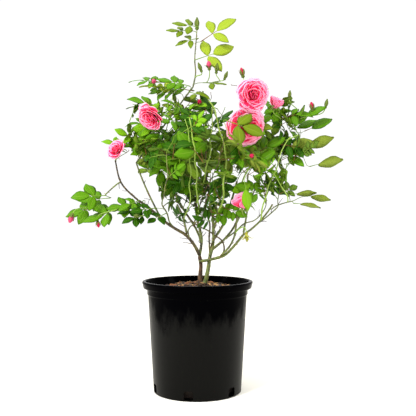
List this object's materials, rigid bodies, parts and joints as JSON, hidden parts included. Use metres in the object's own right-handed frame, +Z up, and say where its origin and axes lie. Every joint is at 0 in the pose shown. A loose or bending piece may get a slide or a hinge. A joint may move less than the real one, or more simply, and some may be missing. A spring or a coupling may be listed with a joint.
{
  "type": "potted shrub rose",
  "caption": "Shrub rose in a round black nursery pot: stems and boughs rise from potting mix into uneven masses of foliage, with long side arms and a tall lead shoot.",
  "frame": {"origin": "centre of the pot's flat underside, on the ground", "axes": "+Z up, -Y the front, +X to the right as seen from the front"},
  "size_m": [0.548, 0.346, 0.7542],
  "materials": {
    "pot": "semi-gloss",
    "mix": "rough",
    "old_wood": "matte",
    "green_wood": "satin",
    "foliage": "matte"
  },
  "bodies": {
    "root": {"bough_back": "green_wood", "bough_back_left": "green_wood", "bough_back_right": "green_wood", "bough_centre": "green_wood", "bough_front": "green_wood", "bough_leader": "green_wood", "bough_left": "green_wood", "bough_left_arm": "green_wood", "bough_left_inner": "green_wood", "bough_left_low": "green_wood", "bough_left_rise": "green_wood", "bough_right_arch": "green_wood", "bough_right_arm": "green_wood", "bough_right_centre": "green_wood", "bough_right_low": "green_wood", "bough_right_rise": "green_wood", "bough_right_second": "green_wood", "foliage_back": "foliage", "foliage_back_left": "foliage", "foliage_back_low": "foliage", "foliage_back_right": "foliage", "foliage_back_top": "foliage", "foliage_blooms": "foliage", "foliage_buds": "foliage", "foliage_front": "foliage", "foliage_front_left": "foliage", "foliage_front_right": "foliage", "foliage_heart": "foliage", "foliage_left_arm": "foliage", "foliage_left_arm_tip": "foliage", "foliage_left_inner": "foliage", "foliage_left_middle": "foliage", "foliage_left_shoulder": "foliage", "foliage_left_spray": "foliage", "foliage_left_tip": "foliage", "foliage_left_top": "foliage", "foliage_low_bloom": "foliage", "foliage_right_arm": "foliage", "foliage_right_far": "foliage", "foliage_right_low": "foliage", "foliage_right_middle": "foliage", "foliage_right_shoulder": "foliage", "foliage_right_upper_tip": "foliage", "foliage_top_left": "foliage", "foliage_top_right": "foliage", "foliage_under_front": "foliage", "lead_shoot": "green_wood", "pot": "pot", "potting_mix": "mix", "stem_brown": "old_wood", "stem_green": "green_wood"}
  },
  "joints": []
}
